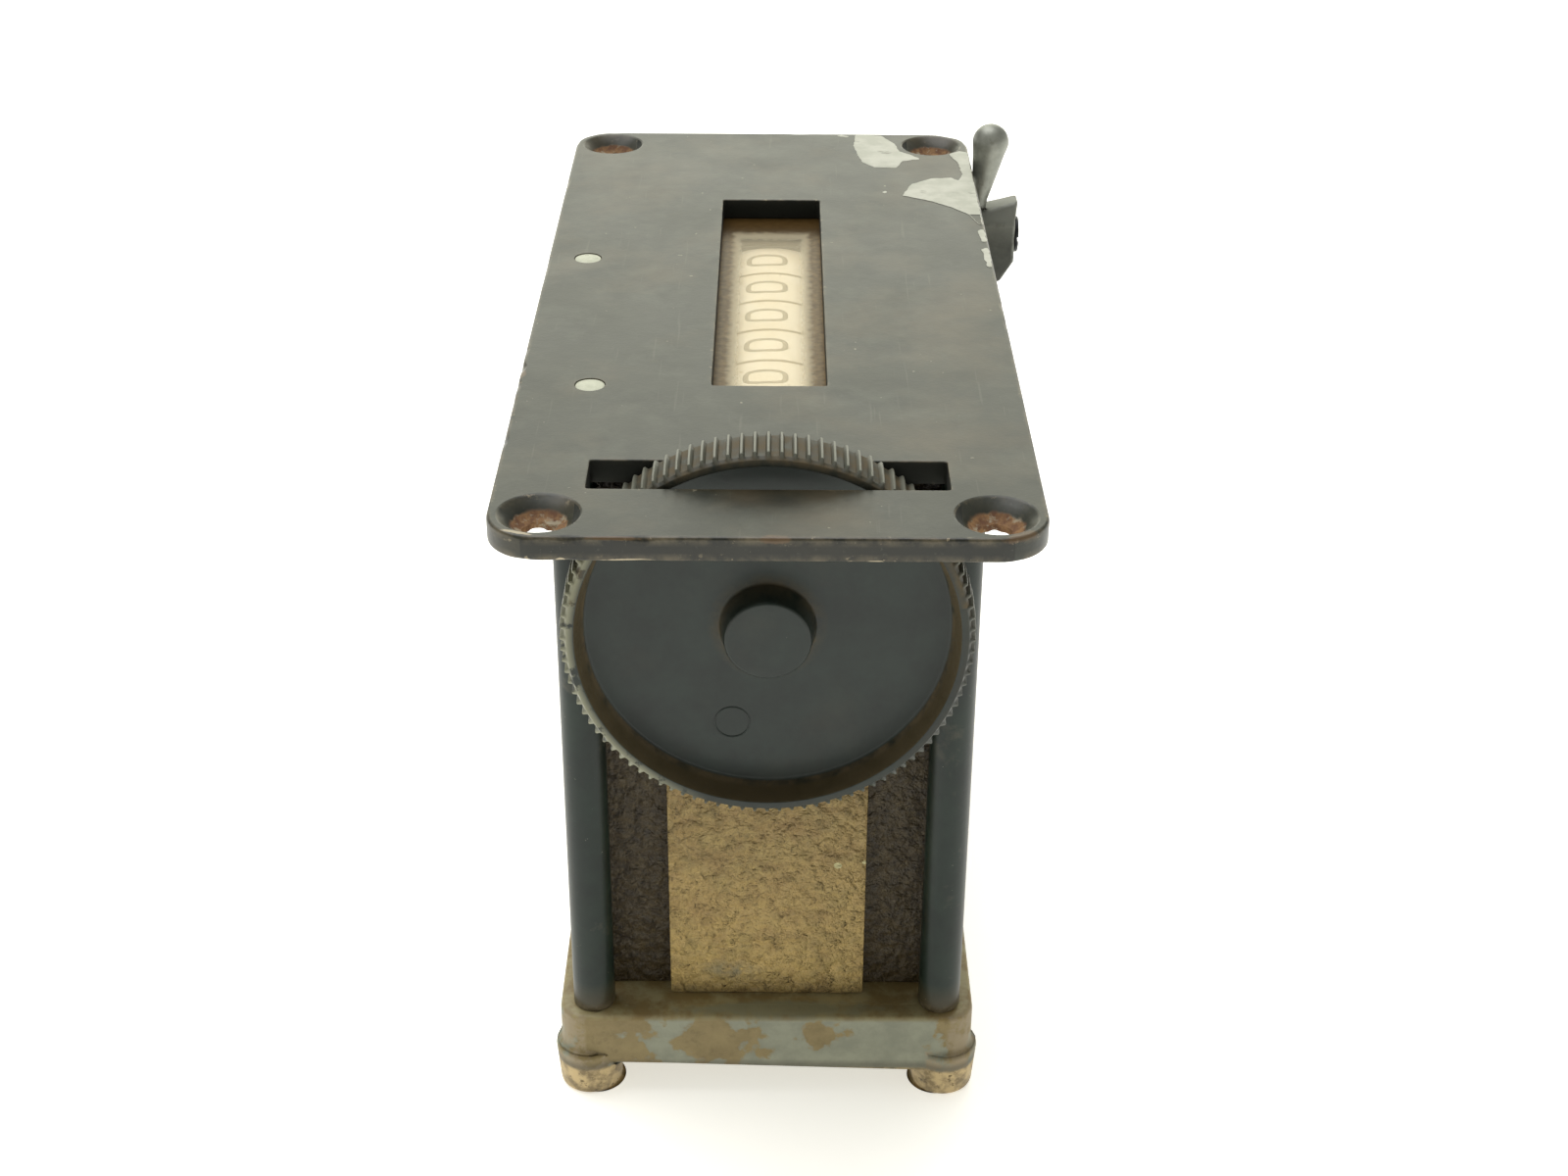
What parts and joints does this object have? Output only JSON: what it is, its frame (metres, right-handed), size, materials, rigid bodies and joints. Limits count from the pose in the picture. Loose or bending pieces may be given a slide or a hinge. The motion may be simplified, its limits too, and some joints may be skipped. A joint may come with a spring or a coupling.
{
  "type": "turnstile visitor counter",
  "caption": "Panel-mounted mechanical counter for a turnstile, with figure wheels under a window, a knurled reset thumbwheel and a spring-returned drive lever.",
  "frame": {"origin": "centre of the four panel screws, in the plane of the face plate's underside, which rests on the panel", "axes": "+Z out of the panel through the window, +Y along the number shaft from the reset wheel to the drive lever, +X to the side of the drive finger"},
  "size_m": [0.0573, 0.1142, 0.082],
  "materials": {
    "plate_paint": "worn satin black paint",
    "plug_metal": "dull, painted over",
    "pane": "yellowed, dusty at its border",
    "dark_paint": "satin blue-black paint",
    "crackle_enamel": "tan crackle enamel",
    "base_paint": "grey-blue paint worn to tan primer",
    "reset_moulding": "satin phenolic moulding",
    "steel": "plain steel",
    "spring_steel": "drawn wire",
    "brass": "turned brass",
    "figure_enamel": "aged cream enamel",
    "lever_metal": "dark worn casting"
  },
  "bodies": {
    "case": {"face_plate": "plate_paint", "blanking_plugs": "plug_metal", "window_pane": "pane", "pane_retainer": "steel", "pillar_front_left": "dark_paint", "pillar_front_right": "dark_paint", "pillar_rear_left": "dark_paint", "pillar_rear_right": "dark_paint", "housing": "crackle_enamel", "base": "base_paint", "base_screws": "steel", "front_frame_plate": "steel", "rear_frame_plate": "steel", "frame_spacers": "steel", "carrier_rail": "steel", "front_bush": "brass", "rear_bush": "brass", "stop_studs": "steel", "holding_pawl_stud": "steel", "pinion_carrier_1": "steel", "pinion_carrier_2": "steel", "pinion_carrier_3": "steel", "pinion_carrier_4": "steel", "return_spring": "spring_steel", "spring_post": "steel"},
    "reset": {"reset_wheel": "reset_moulding", "reset_grub_screw": "steel", "number_shaft": "steel", "shaft_clip": "steel"},
    "units_wheel": {"digit_wheel_1": "figure_enamel", "reset_spring_1": "spring_steel", "ratchet_wheel": "steel"},
    "tens_wheel": {"digit_wheel_2": "figure_enamel", "reset_spring_2": "spring_steel"},
    "hundreds_wheel": {"digit_wheel_3": "figure_enamel", "reset_spring_3": "spring_steel"},
    "thousands_wheel": {"digit_wheel_4": "figure_enamel", "reset_spring_4": "spring_steel"},
    "ten_thousands_wheel": {"digit_wheel_5": "figure_enamel", "reset_spring_5": "spring_steel"},
    "pinion_1": {"transfer_pinion_1": "brass"},
    "pinion_2": {"transfer_pinion_2": "brass"},
    "pinion_3": {"transfer_pinion_3": "brass"},
    "pinion_4": {"transfer_pinion_4": "brass"},
    "lever": {"drive_shaft": "steel", "driver_plate": "steel", "drive_pawl_stud": "steel", "lever_arm": "lever_metal", "lever_finger": "lever_metal", "finger_screw": "lever_metal", "lever_grub_screw": "steel"},
    "drive_pawl": {"drive_pawl": "steel"},
    "holding_pawl": {"holding_pawl": "steel"}
  },
  "joints": [
    {"name": "reset_turn", "type": "hinge", "parent": "case", "child": "reset", "pos_m": [0, -0.0445, -0.0142], "axis": [0, 1, 0], "continuous": true},
    {"name": "units_wheel_turn", "type": "hinge", "parent": "case", "child": "units_wheel", "pos_m": [0, 0.0205, -0.0142], "axis": [0, 1, 0], "continuous": true},
    {"name": "tens_wheel_turn", "type": "hinge", "parent": "case", "child": "tens_wheel", "pos_m": [0, 0.012, -0.0142], "axis": [0, 1, 0], "continuous": true},
    {"name": "hundreds_wheel_turn", "type": "hinge", "parent": "case", "child": "hundreds_wheel", "pos_m": [0, 0.0035, -0.0142], "axis": [0, 1, 0], "continuous": true},
    {"name": "thousands_wheel_turn", "type": "hinge", "parent": "case", "child": "thousands_wheel", "pos_m": [0, -0.005, -0.0142], "axis": [0, 1, 0], "continuous": true},
    {"name": "ten_thousands_wheel_turn", "type": "hinge", "parent": "case", "child": "ten_thousands_wheel", "pos_m": [0, -0.0135, -0.0142], "axis": [0, 1, 0], "continuous": true},
    {"name": "pinion_1_turn", "type": "hinge", "parent": "case", "child": "pinion_1", "pos_m": [0, 0.01625, -0.0212], "axis": [0, 1, 0], "continuous": true},
    {"name": "pinion_2_turn", "type": "hinge", "parent": "case", "child": "pinion_2", "pos_m": [0, 0.00775, -0.0212], "axis": [0, 1, 0], "continuous": true},
    {"name": "pinion_3_turn", "type": "hinge", "parent": "case", "child": "pinion_3", "pos_m": [0, -0.00075, -0.0212], "axis": [0, 1, 0], "continuous": true},
    {"name": "pinion_4_turn", "type": "hinge", "parent": "case", "child": "pinion_4", "pos_m": [0, -0.00925, -0.0212], "axis": [0, 1, 0], "continuous": true},
    {"name": "lever_swing", "type": "hinge", "parent": "case", "child": "lever", "pos_m": [0, 0.04, -0.0142], "axis": [0, 1, 0], "range_deg": [0, 45], "stiffness_Nm_per_rad": 0.02, "springref_deg": -40.11},
    {"name": "drive_pawl_lift", "type": "hinge", "parent": "lever", "child": "drive_pawl", "pos_m": [-0.01109, 0.026, -0.01824], "axis": [0, -1, 0], "range_deg": [0, 10], "stiffness_Nm_per_rad": 0.002, "springref_deg": -22.92},
    {"name": "holding_pawl_lift", "type": "hinge", "parent": "case", "child": "holding_pawl", "pos_m": [0.0082, 0.026, -0.0278], "axis": [0, 1, 0], "range_deg": [0, 10], "stiffness_Nm_per_rad": 0.002, "springref_deg": -22.92}
  ],
  "couplings": [
    {"joint": "pinion_1_turn", "follows": "tens_wheel_turn", "ratio": 3.3333},
    {"joint": "pinion_2_turn", "follows": "hundreds_wheel_turn", "ratio": 3.3333},
    {"joint": "pinion_3_turn", "follows": "thousands_wheel_turn", "ratio": 3.3333},
    {"joint": "pinion_4_turn", "follows": "ten_thousands_wheel_turn", "ratio": 3.3333}
  ]
}
